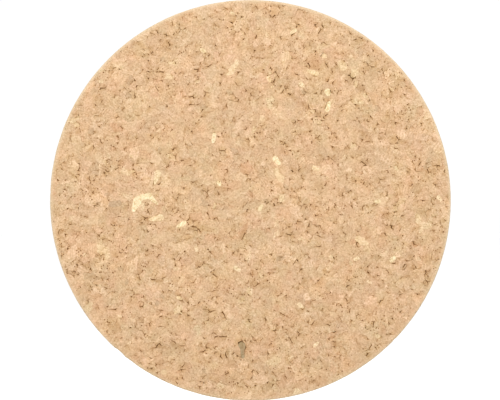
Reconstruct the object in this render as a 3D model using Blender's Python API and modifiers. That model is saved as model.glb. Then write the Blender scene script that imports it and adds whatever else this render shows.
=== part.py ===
"""Round frameless cork bulletin board, modelled upright as it hangs on a wall.

The wall is the plane y = 0, the pinning face looks towards -Y and +Z is up.
Units are metres. From the wall outwards the stack is: release liners, double-sided
foam mounting squares, cork disc.
"""

import math

import bmesh
import bpy
from mathutils import Matrix, Vector

# ---------------------------------------------------------------- dimensions
BOARD_DIAMETER = 0.200      # punched disc of agglomerated cork
BOARD_THICKNESS = 0.010
BOARD_EDGE_BREAK = 0.0008   # the sanded arris on both rims
BOARD_SIDES = 144

PAD_SIDE = 0.025            # die-cut double-sided foam square
PAD_THICKNESS = 0.0016
PAD_CORNER = 0.0015         # corner radius left by the cutting die
PAD_RADIUS = 0.060          # from the board's centre to each outer pad's centre

LINER_SIDE = 0.0264         # release liner, a little larger than the foam
LINER_THICKNESS = 0.00025
LINER_CORNER = 0.0020
LINER_TAB_WIDTH = 0.010     # finger tab that starts the peel
LINER_TAB_LENGTH = 0.0065
LINER_TAB_CORNER = 0.0030

GAP = 0.0003                # clearance between faces that touch

# ---------------------------------------------------------------- stack along Y
LINER_BACK = 0.0
LINER_FRONT = LINER_BACK - LINER_THICKNESS
PAD_BACK = LINER_FRONT - GAP
PAD_FRONT = PAD_BACK - PAD_THICKNESS
BOARD_BACK = PAD_FRONT - GAP
BOARD_FRONT = BOARD_BACK - BOARD_THICKNESS

# One pad at the centre and one towards each quarter; every tab points away from the
# centre, so that it can be caught with a nail from the nearest edge of the board.
PADS = {
    "center": (Vector((0.0, 0.0, 0.0)), -90.0),
    "top": (Vector((0.0, 0.0, PAD_RADIUS)), 90.0),
    "bottom": (Vector((0.0, 0.0, -PAD_RADIUS)), -90.0),
    "left": (Vector((-PAD_RADIUS, 0.0, 0.0)), 180.0),
    "right": (Vector((PAD_RADIUS, 0.0, 0.0)), 0.0),
}


def clear_scene():
    for obj in list(bpy.data.objects):
        bpy.data.objects.remove(obj, do_unlink=True)


def make_collection(name):
    collection = bpy.data.collections.new(name)
    bpy.context.scene.collection.children.link(collection)
    return collection


def make_material(name, color, roughness, metallic=0.0):
    material = bpy.data.materials.new(name)
    material.use_nodes = True
    shader = material.node_tree.nodes["Principled BSDF"]
    shader.inputs["Base Color"].default_value = (*color, 1.0)
    shader.inputs["Roughness"].default_value = roughness
    shader.inputs["Metallic"].default_value = metallic
    material.diffuse_color = (*color, 1.0)
    return material


def add_bevel(obj, width, segments, method, angle=math.radians(30.0)):
    bevel = obj.modifiers.new("edge_break", "BEVEL")
    bevel.width = width
    bevel.segments = segments
    bevel.limit_method = method
    bevel.angle_limit = angle
    bevel.use_clamp_overlap = True
    return bevel


def cork_disc(collection, material):
    """The board itself: a disc whose axis runs along Y."""
    mesh = bpy.data.meshes.new("cork_disc")
    bm = bmesh.new()
    bmesh.ops.create_cone(
        bm,
        cap_ends=True,
        cap_tris=False,
        segments=BOARD_SIDES,
        radius1=BOARD_DIAMETER / 2,
        radius2=BOARD_DIAMETER / 2,
        depth=BOARD_THICKNESS,
        matrix=Matrix.Rotation(math.radians(90.0), 4, "X"),
    )
    bm.to_mesh(mesh)
    bm.free()
    mesh.shade_smooth()
    mesh.set_sharp_from_angle(angle=math.radians(30.0))
    obj = bpy.data.objects.new("cork_disc", mesh)
    obj.location = (0.0, (BOARD_BACK + BOARD_FRONT) / 2, 0.0)
    obj.data.materials.append(material)
    collection.objects.link(obj)
    add_bevel(obj, BOARD_EDGE_BREAK, 3, "ANGLE")
    return obj


def foam_mesh():
    """A foam square with its four corner edges rounded through the thickness."""
    mesh = bpy.data.meshes.new("foam_square")
    bm = bmesh.new()
    bmesh.ops.create_cube(bm, size=1.0)
    bmesh.ops.scale(bm, verts=bm.verts, vec=(PAD_SIDE, PAD_THICKNESS, PAD_SIDE))
    bm.to_mesh(mesh)
    bm.free()
    weights = mesh.attributes.new("bevel_weight_edge", "FLOAT", "EDGE")
    for edge in mesh.edges:
        a, b = (mesh.vertices[i].co for i in edge.vertices)
        weights.data[edge.index].value = 1.0 if abs(a.y - b.y) > 1e-6 else 0.0
    return mesh


def foam_square(name, center, mesh, collection, material):
    obj = bpy.data.objects.new(name, mesh)
    obj.location = center + Vector((0.0, (PAD_BACK + PAD_FRONT) / 2, 0.0))
    if not mesh.materials:
        mesh.materials.append(material)
    collection.objects.link(obj)
    add_bevel(obj, PAD_CORNER, 5, "WEIGHT")
    return obj


def arc(cx, cy, radius, start, end, steps):
    """Points along an arc, both ends included, angles in degrees."""
    points = []
    for i in range(steps + 1):
        a = math.radians(start + (end - start) * i / steps)
        points.append((cx + radius * math.cos(a), cy + radius * math.sin(a)))
    return points


def liner_outline():
    """Rounded square with a finger tab on its +X side, anticlockwise."""
    h = LINER_SIDE / 2
    c = LINER_CORNER
    w = LINER_TAB_WIDTH / 2
    t = LINER_TAB_CORNER
    x_tab = h + LINER_TAB_LENGTH
    points = []
    points += [(h, -w)]
    points += arc(x_tab - t, -w + t, t, -90.0, 0.0, 6)
    points += arc(x_tab - t, w - t, t, 0.0, 90.0, 6)
    points += [(h, w)]
    points += arc(h - c, h - c, c, 0.0, 90.0, 6)
    points += arc(-h + c, h - c, c, 90.0, 180.0, 6)
    points += arc(-h + c, -h + c, c, 180.0, 270.0, 6)
    points += arc(h - c, -h + c, c, 270.0, 360.0, 6)
    return points


def release_liner(name, center, tab_angle, collection, material):
    """A liner of silicone-coated paper, cut from a flat outline."""
    curve = bpy.data.curves.new(name, "CURVE")
    curve.dimensions = "2D"
    curve.fill_mode = "BOTH"
    curve.extrude = LINER_THICKNESS / 2
    points = liner_outline()
    spline = curve.splines.new("POLY")
    spline.points.add(len(points) - 1)
    for point, (x, y) in zip(spline.points, points):
        point.co = (x, y, 0.0, 1.0)
    spline.use_cyclic_u = True
    curve.materials.append(material)
    obj = bpy.data.objects.new(name, curve)
    # The outline is drawn in XY: turn its tab to tab_angle, then stand it up in XZ.
    obj.matrix_world = (
        Matrix.Translation(center + Vector((0.0, (LINER_BACK + LINER_FRONT) / 2, 0.0)))
        @ Matrix.Rotation(math.radians(90.0), 4, "X")
        @ Matrix.Rotation(math.radians(tab_angle), 4, "Z")
    )
    collection.objects.link(obj)
    return obj


def main():
    clear_scene()
    collection = make_collection("cork_bulletin_board")
    cork = make_material("cork", (0.745, 0.491, 0.282), 0.88)
    foam = make_material("foam", (0.80, 0.80, 0.77), 0.75)
    liner = make_material("liner", (0.86, 0.84, 0.76), 0.45)

    cork_disc(collection, cork)
    shared_foam = foam_mesh()
    for where, (center, tab_angle) in PADS.items():
        foam_square("foam_pad_" + where, center, shared_foam, collection, foam)
        release_liner("release_liner_" + where, center, tab_angle, collection, liner)


main()
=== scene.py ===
"""Looks of the round cork bulletin board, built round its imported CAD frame.

The cork disc is a closed mesh of separate granules: each one has a flat sanded top, a bevelled
border and a groove or a pit where it meets its neighbours. Lengths in the pattern code are in
millimetres and are turned into metres when the mesh is made.
"""

import math

import bpy
import numpy as np
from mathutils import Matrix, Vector
from mathutils.geometry import tessellate_polygon


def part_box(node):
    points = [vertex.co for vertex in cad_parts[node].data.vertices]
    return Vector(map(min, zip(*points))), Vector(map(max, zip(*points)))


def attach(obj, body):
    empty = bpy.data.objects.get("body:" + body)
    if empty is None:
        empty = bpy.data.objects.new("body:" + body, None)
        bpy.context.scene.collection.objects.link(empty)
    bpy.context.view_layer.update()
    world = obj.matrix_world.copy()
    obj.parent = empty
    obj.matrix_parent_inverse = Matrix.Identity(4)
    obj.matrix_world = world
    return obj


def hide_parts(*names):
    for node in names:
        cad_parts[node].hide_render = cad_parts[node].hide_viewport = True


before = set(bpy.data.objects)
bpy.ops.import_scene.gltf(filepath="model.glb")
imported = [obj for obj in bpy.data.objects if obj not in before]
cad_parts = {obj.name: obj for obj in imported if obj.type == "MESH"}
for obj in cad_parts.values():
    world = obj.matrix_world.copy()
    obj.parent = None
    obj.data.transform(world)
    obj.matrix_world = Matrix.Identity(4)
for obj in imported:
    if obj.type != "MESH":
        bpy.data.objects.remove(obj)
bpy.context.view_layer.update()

SEED = 4217
MM = 0.001

disc_low, disc_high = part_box("cork_disc")
RADIUS = (disc_high[0] - disc_low[0]) / 2 / MM
FRONT_Y = disc_low[1] / MM
BACK_Y = disc_high[1] / MM
EDGE = 0.8  # rounded arris on both rims
FACE_RADIUS = RADIUS - EDGE


def srgb(r, g, b):
    """Linear colour of 8-bit sRGB values."""
    out = []
    for v in (r, g, b):
        v = v / 255.0
        out.append(v / 12.92 if v <= 0.04045 else ((v + 0.055) / 1.055) ** 2.4)
    return np.array(out)


# ------------------------------------------------------------------ smooth noise
class Noise2D:
    """Sum of random plane waves around one wavelength: smooth, seeded and periodic nowhere."""

    def __init__(self, rng, wavelength, waves=14):
        angle = rng.uniform(0, 2 * math.pi, waves)
        k = 2 * math.pi / (wavelength * rng.uniform(0.6, 1.6, waves))
        self.kx, self.ky = k * np.cos(angle), k * np.sin(angle)
        self.phase = rng.uniform(0, 2 * math.pi, waves)
        self.gain = math.sqrt(2.0 / waves)

    def __call__(self, x, y):
        x, y = np.asarray(x, float), np.asarray(y, float)
        total = np.zeros(np.broadcast(x, y).shape)
        for kx, ky, p in zip(self.kx, self.ky, self.phase):
            total += np.sin(kx * x + ky * y + p)
        return total * self.gain


# ------------------------------------------------------------------ granule map
CORNER_X = np.array([1, 0, -1, -1, 0, 1])
CORNER_Y = np.array([1, 2, 1, -1, -2, -1])


class GranuleMap:
    """Granules grown on a fine honeycomb. Each is a cluster of cells; the borders between them are shared polylines."""

    def __init__(self, spacing, low, high, rng, period=False):
        self.rng = rng
        self.period = high[0] - low[0] if period else None
        columns = int(math.ceil((high[0] - low[0]) / spacing)) + (0 if period else 1)
        self.s = (high[0] - low[0]) / columns if period else spacing
        rows = int(math.ceil((high[1] - low[1]) / (self.s * math.sqrt(3) / 2))) + 1
        self.low = low
        self.shape = (rows, columns)
        jj, ii = np.mgrid[0:rows, 0:columns]
        self.X, self.Y = 2 * ii + jj % 2, 3 * jj
        self.x = low[0] + self.X * self.s / 2
        self.y = low[1] + self.Y * self.s / (2 * math.sqrt(3))
        jitter = 0.22 * self.s
        self.px = self.x + rng.uniform(-jitter, jitter, self.shape)
        self.py = self.y + rng.uniform(-jitter, jitter, self.shape)
        self.best = np.full(self.shape, np.inf)
        self.owner = np.full(self.shape, -1)
        self.radii = []

    def window(self, x, y, reach):
        row_step = self.s * math.sqrt(3) / 2
        j0 = max(0, int((y - reach - self.low[1]) / row_step))
        j1 = min(self.shape[0], int((y + reach - self.low[1]) / row_step) + 2)
        i0 = int(math.floor((x - reach - self.low[0]) / self.s))
        i1 = int(math.ceil((x + reach - self.low[0]) / self.s)) + 1
        if self.period:
            cols = np.arange(i0, i1) % self.shape[1]
        else:
            cols = np.arange(max(0, i0), min(self.shape[1], i1))
        return np.arange(j0, j1), cols

    def place(self, x, y, r):
        """A granule: the cells inside a random polygon round (x, y), where no other granule's claim is stronger."""
        rng = self.rng
        sides = rng.integers(5, 8)
        angles = (np.arange(sides) + rng.uniform(-0.28, 0.28, sides)) * 2 * math.pi / sides
        angles += rng.uniform(0, 2 * math.pi)
        offsets = r * rng.uniform(0.78, 1.12, sides)
        stretch = rng.uniform(1.0, 1.75)
        turn = rng.uniform(0, math.pi)
        rows, cols = self.window(x, y, r * stretch * 1.2 + 1.5)
        if not len(rows) or not len(cols):
            return
        grid = np.ix_(rows, cols)
        dx, dy = self.px[grid] - x, self.py[grid] - y
        if self.period:
            dx = dx - np.round(dx / self.period) * self.period
        c, s = math.cos(turn), math.sin(turn)
        u, v = (dx * c + dy * s) / stretch, (-dx * s + dy * c) * math.sqrt(stretch)
        d = np.full(u.shape, -np.inf)
        for a, off in zip(angles, offsets):
            d = np.maximum(d, u * math.cos(a) + v * math.sin(a) - off)
        closer = d < self.best[grid]
        index = len(self.radii)
        self.radii.append(r)
        self.best[grid] = np.where(closer, d, self.best[grid])
        self.owner[grid] = np.where(closer, index, self.owner[grid])

    def fill(self, schedule):
        rows, columns = self.shape
        for low, high, tries, room in schedule:
            js = self.rng.integers(0, rows, tries)
            is_ = self.rng.integers(0, columns, tries)
            rs = self.rng.uniform(low, high, tries)
            for j, i, r in zip(js, is_, rs):
                if self.best[j, i] >= room * r:
                    self.place(self.px[j, i], self.py[j, i], r)
        while np.isinf(self.best).any():
            j, i = np.argwhere(np.isinf(self.best))[0]
            self.place(self.px[j, i], self.py[j, i], 0.8)

    def stamp(self, inside):
        """One granule of a given shape: inside is a boolean array over the cells."""
        index = len(self.radii)
        self.radii.append(2.0)
        self.owner[inside] = index
        return index

    def trace(self, outside, snap, tolerance, rim_step, stamps=()):
        """Borders of the granules. outside is -1 or -2 for cells that aren't in the domain, else 0; snap moves the positions of border points on the domain's edge; stamps are (index, strokes) of the granules whose outline follows their strokes."""
        rng = self.rng
        owner = self.owner.ravel().copy()
        out = outside.ravel()
        cells = owner.size
        base_x, base_y = self.X.ravel()[:, None], self.Y.ravel()[:, None]
        cx, cy = base_x + CORNER_X, base_y + CORNER_Y
        if self.period:
            cx = cx % (2 * self.shape[1])
        code = (cx + 2) * (4 * self.shape[0] + 16) + (cy + 4)
        codes, corner = np.unique(code, return_inverse=True)
        corner = corner.reshape(cells, 6)
        vx = codes // (4 * self.shape[0] + 16) - 2
        vy = codes % (4 * self.shape[0] + 16) - 4
        count = len(codes)
        jitter = 0.17 * self.s
        pos = np.stack(
            [
                self.low[0] + vx * self.s / 2 + rng.uniform(-jitter, jitter, count),
                self.low[1] + vy * self.s / (2 * math.sqrt(3)) + rng.uniform(-jitter, jitter, count),
            ],
            axis=1,
        )
        a = corner.ravel()
        b = np.roll(corner, -1, axis=1).ravel()
        left = np.repeat(np.arange(cells), 6)
        key = a.astype(np.int64) * count + b
        order = np.argsort(key)
        back = b.astype(np.int64) * count + a
        at = np.searchsorted(key[order], back)
        at[at >= len(key)] = 0
        found = key[order][at] == back
        right = np.where(found, left[order][at], -1)

        # Split each granule into its connected pieces, and give the outside its own labels.
        same = found & (owner[left] == owner[np.maximum(right, 0)]) & (out[left] == 0) & (out[np.maximum(right, 0)] == 0)
        la, lb = left[same], right[same]
        label = np.arange(cells)
        while True:
            before = label.copy()
            np.minimum.at(label, la, label[lb])
            label = label[label]
            if (label == before).all():
                break
        granule = np.where(out == 0, label, out)
        # A piece of one or two cells joins a neighbour now and then; the rest stay as fine crumbs.
        ids, where, sizes = np.unique(granule, return_inverse=True, return_counts=True)
        small = (sizes[where] <= 2) & (out == 0) & ~np.isin(owner, [index for index, _ in stamps])
        stamped_cell = np.isin(owner, [index for index, _ in stamps])
        for e in np.flatnonzero(found & small[left]):
            l, r = left[e], right[e]
            if out[r] == 0 and granule[r] != granule[l] and not small[r] and not stamped_cell[r]:
                granule[granule == granule[l]] = granule[r] if sizes[where[l]] > 1 else granule[l]
                granule[l] = granule[r]
        self.granule_of_cell = granule

        edge = found & (granule[left] != granule[np.maximum(right, 0)])
        a, b, gl, gr = a[edge], b[edge], granule[left[edge]], granule[right[edge]]
        shift = 4
        span = int(granule.max()) + shift + 1
        start_key = a.astype(np.int64) * span + (gl + shift)
        order = np.argsort(start_key)
        nxt = order[np.searchsorted(start_key[order], b.astype(np.int64) * span + (gl + shift))]
        degree = np.bincount(a, minlength=count)
        junction = degree >= 3
        rim = np.zeros(count, int)
        for e in np.flatnonzero(gr < 0):
            rim[a[e]] = rim[b[e]] = gr[e]
        pos = snap(pos, rim)
        for index, strokes in stamps:
            side = found & ((owner[left] == index) != (owner[np.maximum(right, 0)] == index))
            side = np.unique(np.concatenate([corner.ravel()[side], np.roll(corner, -1, axis=1).ravel()[side]]))
            side = side[rim[side] == 0]
            for _ in range(3):
                x, y = pos[side].T
                away = stroke_distance(x, y, strokes)
                gx = (stroke_distance(x + 0.02, y, strokes) - away) / 0.02
                gy = (stroke_distance(x, y + 0.02, strokes) - away) / 0.02
                pos[side] -= 0.9 * away[:, None] * np.stack([gx, gy], 1) / np.maximum(gx**2 + gy**2, 0.3)[:, None]
        # Border points on the rim between junctions are kept at an even spacing, the others where the line bends.
        keep = junction.copy()
        done = np.zeros(len(a), bool)
        starts = np.flatnonzero(junction[a] & (gl >= 0) & ((gl < gr) | (gr < 0)))
        chains = []
        for e in starts:
            chain = [e]
            while not junction[b[chain[-1]]]:
                chain.append(nxt[chain[-1]])
            chains.append(chain)
            done[chain] = True
        for e in np.flatnonzero((gl >= 0) & ((gl < gr) | (gr < 0)) & ~done):
            if done[e]:
                continue
            chain = [e]
            done[e] = True
            while nxt[chain[-1]] != e:
                chain.append(nxt[chain[-1]])
                done[chain[-1]] = True
            keep[a[e]] = True
            chains.append(chain)
        for chain in chains:
            points = [a[e] for e in chain] + [b[chain[-1]]]
            p = pos[points]
            if self.period:
                p = p.copy()
                p[:, 0] -= np.round((p[:, 0] - p[0, 0]) / self.period) * self.period
            if gr[chain[0]] < 0:
                run = 0.0
                total = np.hypot(*(p[1:] - p[:-1]).T).sum()
                for k in range(1, len(points) - 1):
                    run += np.hypot(*(p[k] - p[k - 1]))
                    total -= np.hypot(*(p[k] - p[k - 1]))
                    if run >= rim_step and total >= 0.5 * rim_step:
                        keep[points[k]] = True
                        run = 0.0
                continue
            closed = points[0] == points[-1]
            stack = [(0, len(points) - 1)]
            if closed:
                far = int(np.argmax(np.hypot(*(p - p[0]).T)))
                keep[points[far]] = True
                stack = [(0, far), (far, len(points) - 1)]
            first = True
            while stack:
                i, j = stack.pop()
                if j - i < 2:
                    continue
                d = p[j] - p[i]
                length = math.hypot(*d) + 1e-9
                off = np.abs(d[0] * (p[i + 1 : j, 1] - p[i, 1]) - d[1] * (p[i + 1 : j, 0] - p[i, 0])) / length
                k = int(np.argmax(off))
                if off[k] > tolerance or closed or (first and j - i > 4):
                    keep[points[i + 1 + k]] = True
                    if off[k] > tolerance:
                        stack += [(i, i + 1 + k), (i + 1 + k, j)]
                first = False
        # Loops, each with its granule on the left.
        loops = {}
        seen = np.zeros(len(a), bool)
        seen[gl < 0] = True
        for e in range(len(a)):
            if seen[e]:
                continue
            loop, k = [], e
            while not seen[k]:
                seen[k] = True
                if keep[a[k]]:
                    loop.append(a[k])
                k = nxt[k]
            if len(loop) >= 3:
                loops.setdefault(int(gl[e]), []).append(loop)
        self.pos, self.rim, self.loops = pos, rim, loops
        self.junction = junction
        return loops


# ------------------------------------------------------------------ mesh assembly
class CorkMesh:
    """Collects points, faces and the values painted on them."""

    def __init__(self):
        self.points = []
        self.groove = []
        self.count = 0
        self.faces = []
        self.tints = []  # one linear colour for each face
        self.grains = []  # one random vector for each face
        self.uvs = []  # one list of (u, v) for each face

    def add_points(self, points, groove):
        first = self.count
        self.points.append(np.asarray(points, float))
        self.groove.append(np.asarray(groove, float))
        self.count += len(points)
        return first

    def add_face(self, indices, tint, grain, uv):
        self.faces.append([int(i) for i in indices])
        self.tints.append(tint)
        self.grains.append(grain)
        self.uvs.append(uv)


def granule_tints(rng, count):
    """Linear albedo for each granule: mostly peach tan, a few cream, reddish or grey-brown ones."""
    base = srgb(*CORK_BASE)
    kind = rng.uniform(0, 1, count)
    light = rng.normal(0, LIGHT_SPREAD, count).clip(-2.6, 2.2)
    light[(kind > 0.10) & (kind < 0.10 + SHARE_FLAKE)] += 1.7
    warm, rosy = rng.normal(0, 1.0, (2, count, 1)).clip(-2.5, 2.5)
    tint = base * np.exp(GRANULE_LIGHT * light[:, None] * TONE)
    tint *= 1 + GRANULE_WARM * warm * WARM_AXIS + GRANULE_ROSY * rosy * ROSY_AXIS
    cream = kind < SHARE_CREAM
    share = rng.uniform(0.15, 0.75, (cream.sum(), 1))
    tint[cream] = tint[cream] * (1 - share) + srgb(*CORK_CREAM) * share
    red = (kind > 0.93) & (kind < 0.965)
    share = rng.uniform(0.2, 0.8, (red.sum(), 1))
    tint[red] = tint[red] * (1 - share) + srgb(*CORK_RED) * share
    grey = kind > 0.985
    share = rng.uniform(0.2, 0.85, (grey.sum(), 1))
    tint[grey] = tint[grey] * (1 - share) + srgb(*CORK_GREY) * share
    return tint


# Albedo colours, as 8-bit sRGB. Darker cork is also browner: TONE is how fast each channel falls.
TONE = np.array([1.0, 1.21, 1.56])
CORK_BASE = (186.4, 154.8, 120.7)
CORK_CREAM = (204, 180, 143)
CORK_RED = (182, 145, 111)
CORK_GREY = (170, 142, 110)
# The arris colour below is partly paler cut cork and partly a painted highlight on the rounded edge.
CORK_ARRIS_PALE_AND_HIGHLIGHT = (196, 174, 143)
WARM_AXIS = np.array([0.85, -0.32, -0.85])
ROSY_AXIS = np.array([0.10, -0.85, 0.85])
GRANULE_LIGHT = 0.050
GRANULE_WARM = 0.008
GRANULE_ROSY = 0.004
SHARE_CREAM = 0.034
SHARE_FLAKE = 0.13
LIGHT_SPREAD = 0.85
CHIP_BRIGHT = (211, 190, 153)
CHIP_PALE = (206, 181, 144)
CHIP_GREY = (170, 143, 112)
CHIP_MILD = (199, 171, 135)
CHIP_DARK = (152, 133, 103)


def build_surface(mesh, gmap, to_world, to_uv, rng, pit_share, cluster, special=None, cracks=(), depth_scale=1.0):
    """Adds the granules of one map. to_world(x, y, depth) gives metres, to_uv(points) the places on the baked map. Returns the rim points by side, as mesh indices with their positions and tints."""
    special = special or {}
    loops = gmap.loops
    pos = gmap.pos
    used = np.zeros(len(pos), bool)
    for rings in loops.values():
        for ring in rings:
            used[ring] = True
    ids = np.flatnonzero(used)
    n = len(ids)
    local = np.full(len(pos), -1)
    local[ids] = np.arange(n)
    bx, by = pos[ids, 0].copy(), pos[ids, 1].copy()
    on_rim = gmap.rim[ids] < 0

    # Width and depth of the groove at each border point, and how dark it is painted: partly the binder's and the voids'
    # own dark colour, partly painted shade in the groove or pit.
    width = rng.uniform(0.030, 0.085, n)
    depth = rng.uniform(0.04, 0.11, n)
    dark = rng.uniform(0.10, 0.70, n)
    crowd = 1.0 / (1.0 + np.exp(-2.2 * cluster(bx, by)))
    chance = rng.uniform(0, 1, n)
    open_ = chance < 0.14 * (0.4 + crowd)
    width[open_] = rng.uniform(0.08, 0.14, open_.sum())
    depth[open_] = rng.uniform(0.10, 0.20, open_.sum())
    dark[open_] = rng.uniform(0.7, 1.3, open_.sum())
    pit = chance < pit_share * (0.45 + 1.2 * crowd)
    size = rng.uniform(0, 1, n) ** 1.6
    width[pit] = (0.14 + 0.26 * size)[pit]
    depth[pit] = (0.20 + 0.40 * size)[pit]
    dark[pit] = (1.4 + 1.2 * size)[pit]
    # A pit runs on along one border to the next point, which makes it a short crack.
    index = {int(v): k for k, v in enumerate(ids)}
    for rings in loops.values():
        for ring in rings:
            m = [index[v] for v in ring]
            for k in range(len(m)):
                p, q = m[k], m[(k + 1) % len(m)]
                if pit[p] and not pit[q] and rng.uniform() < 0.10:
                    width[q] = max(width[q], 0.7 * width[p])
                    depth[q] = max(depth[q], 0.8 * depth[p])
                    dark[q] = max(dark[q], 0.85 * dark[p])
    # The listed cracks pull the nearest border points on to themselves and open them.
    for x0, y0, x1, y1, size in cracks:
        for t in (0.0, 0.5, 1.0):
            x, y = x0 + (x1 - x0) * t, y0 + (y1 - y0) * t
            away = np.hypot(bx - x, by - y)
            k = int(np.argmin(np.where(on_rim, 9.0, away)))
            if away[k] > 0.9:
                continue
            pull = min(1.0, 0.32 / max(away[k], 1e-6))
            bx[k] += (x - bx[k]) * pull
            by[k] += (y - by[k]) * pull
            pos[ids[k]] = (bx[k], by[k])
            width[k] = 0.34 * size
            depth[k] = 0.55 * size
            dark[k] = 2.5 * size
    depth *= depth_scale
    width[on_rim] = 0.05
    depth[on_rim] = 0.0
    dark[on_rim] = rng.uniform(0.0, 0.25, on_rim.sum())

    # The darkness values go on the points as the groove attribute: painted shade in grooves and pits, partly the
    # binder's dark colour.
    first = mesh.add_points(to_world(bx, by, depth), dark)

    keys = sorted(loops)
    tints = granule_tints(rng, len(keys))
    levels = rng.uniform(0.0, 0.07, len(keys)) * depth_scale
    slopes = rng.normal(0, 0.014, (len(keys), 2)).clip(-0.035, 0.035) * depth_scale
    grains = rng.normal(0, 1, (len(keys), 3))
    grains /= np.linalg.norm(grains, axis=1)[:, None]
    rim_tint = {}
    for g, key in enumerate(keys):
        tint = special.get(key, tints[g])
        rings = loops[key]
        outer_first = []
        tops = []
        for ring in rings:
            p = pos[ring].copy()
            if gmap.period:
                p[:, 0] -= np.round((p[:, 0] - p[0, 0]) / gmap.period) * gmap.period
            if gmap.period and tops:
                p[:, 0] -= np.round((p[0, 0] - tops[0][0][0, 0]) / gmap.period) * gmap.period
            before, after = np.roll(p, 1, axis=0), np.roll(p, -1, axis=0)
            e1, e2 = p - before, after - p
            l1, l2 = np.hypot(*e1.T) + 1e-9, np.hypot(*e2.T) + 1e-9
            n1 = np.stack([-e1[:, 1], e1[:, 0]], 1) / l1[:, None]
            n2 = np.stack([-e2[:, 1], e2[:, 0]], 1) / l2[:, None]
            mitre = (n1 + n2) / np.maximum(1 + (n1 * n2).sum(1), 0.35)[:, None]
            area = 0.5 * abs((p[:, 0] * after[:, 1] - after[:, 0] * p[:, 1]).sum())
            limit = 0.62 * area / l1.sum()
            k = local[ring]
            w = np.minimum(np.minimum(width[k], limit), 0.42 * np.minimum(l1, l2) + 0.02)
            inset = p + mitre * w[:, None]
            tops.append((p, inset, k))
        centre = tops[0][1].mean(0)
        starts = []
        for p, inset, k in tops:
            level = levels[g] + (inset - centre) @ slopes[g]
            level = np.maximum(level, 0.0)
            level = np.where(on_rim[k], 0.0, level)
            # Round the deepest pits the inner ring is painted dark too: painted shade spreading on to the granule top.
            shade = np.where(dark[k] > 1.35, 0.42 * dark[k] - 0.2, 0.0)
            starts.append(mesh.add_points(to_world(inset[:, 0], inset[:, 1], level), shade))
        for (p, inset, k), start in zip(tops, starts):
            m = len(k)
            for i in range(m):
                j = (i + 1) % m
                mesh.add_face(
                    (first + k[i], first + k[j], start + j, start + i),
                    tint,
                    grains[g],
                    to_uv([p[i], p[j], inset[j], inset[i]]),
                )
                if on_rim[k[i]] and on_rim[k[j]]:
                    rim_tint[int(k[i])] = (tint, grains[g])
        if len(tops) == 1:
            p, inset, k = tops[0]
            mesh.add_face(
                range(starts[0], starts[0] + len(k)),
                tint,
                grains[g],
                to_uv(inset),
            )
        else:
            flat, index_of = [], []
            for (p, inset, k), start in zip(tops, starts):
                flat.append([Vector((q[0], q[1], 0.0)) for q in inset])
                index_of += [(start + i, tuple(inset[i])) for i in range(len(k))]
            for tri in tessellate_polygon(flat):
                a, b, c = (index_of[t] for t in tri)
                cross = (b[1][0] - a[1][0]) * (c[1][1] - a[1][1]) - (b[1][1] - a[1][1]) * (c[1][0] - a[1][0])
                if abs(cross) < 1e-9:
                    continue
                if cross < 0:
                    b, c = c, b
                mesh.add_face((a[0], b[0], c[0]), tint, grains[g], to_uv([a[1], b[1], c[1]]))
    rims = {}
    for side in (-1, -2):
        members = [k for k in np.flatnonzero(gmap.rim[ids] == side)]
        rims[side] = [(first + k, bx[k], by[k], rim_tint.get(int(k))) for k in members]
    return rims


# ------------------------------------------------------------------ disc faces
SCHEDULE = [
    (2.4, 3.1, 90, 0.75),
    (1.7, 2.4, 900, 0.70),
    (1.2, 1.7, 4000, 0.62),
    (0.8, 1.2, 10000, 0.55),
    (0.5, 0.8, 9000, 0.50),
]


def stroke_distance(x, y, strokes):
    """Distance to the outline of a union of capsules, each (x0, y0, x1, y1, r0, r1): negative inside."""
    nearest = np.full(np.shape(x), np.inf)
    for x0, y0, x1, y1, r0, r1 in strokes:
        dx, dy = x1 - x0, y1 - y0
        t = ((x - x0) * dx + (y - y0) * dy) / max(dx * dx + dy * dy, 1e-9)
        t = t.clip(0, 1)
        nearest = np.minimum(nearest, np.hypot(x - x0 - t * dx, y - y0 - t * dy) - r0 - (r1 - r0) * t)
    return nearest


def in_strokes(x, y, strokes):
    return stroke_distance(x, y, strokes) < 0


def face_map(rng, spacing, tolerance, chips=(), fine=1.0):
    reach = FACE_RADIUS + 4 * spacing
    gmap = GranuleMap(spacing, (-reach, -reach), (reach, reach), rng)
    radius = np.hypot(gmap.x, gmap.y)
    gmap.best[radius > FACE_RADIUS + 2.5] = -1.0  # nothing grows far outside
    gmap.owner[radius > FACE_RADIUS + 2.5] = 0
    gmap.radii.append(1.0)
    gmap.fill([(a, b, int(tries * (fine if b <= 1.2 else 1.0)), room) for a, b, tries, room in SCHEDULE])
    stamped = []
    for strokes, colour in chips:
        index = gmap.stamp(in_strokes(gmap.x, gmap.y, strokes))
        stamped.append((index, colour, strokes))
    outside = np.where(radius > FACE_RADIUS, -1, 0)

    def snap(pos, rim):
        pos = pos.copy()
        on = rim < 0
        scale = FACE_RADIUS / np.hypot(pos[on, 0], pos[on, 1])
        pos[on] *= scale[:, None]
        return pos

    gmap.trace(outside, snap, tolerance, rim_step=0.9, stamps=[(index, strokes) for index, _, strokes in stamped])
    special = {}
    owner = gmap.owner.ravel()
    for index, colour, _ in stamped:
        for key in np.unique(gmap.granule_of_cell[owner == index]):
            if (owner[gmap.granule_of_cell == key] == index).mean() > 0.7:
                special[int(key)] = srgb(*colour)
    return gmap, special


def strip_map(rng, spacing, tolerance, height):
    length = 2 * math.pi * RADIUS
    gmap = GranuleMap(spacing, (0.0, -4 * spacing), (length, height + 4 * spacing), rng, period=True)
    gmap.fill([(a, b, max(20, tries // 3), room) for a, b, tries, room in SCHEDULE])
    outside = np.where(gmap.y < 0, -1, np.where(gmap.y > height, -2, 0))

    def snap(pos, rim):
        pos = pos.copy()
        pos[rim == -1, 1] = 0.0
        pos[rim == -2, 1] = height
        return pos

    gmap.trace(outside, snap, tolerance, rim_step=1.1)
    return gmap


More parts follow.
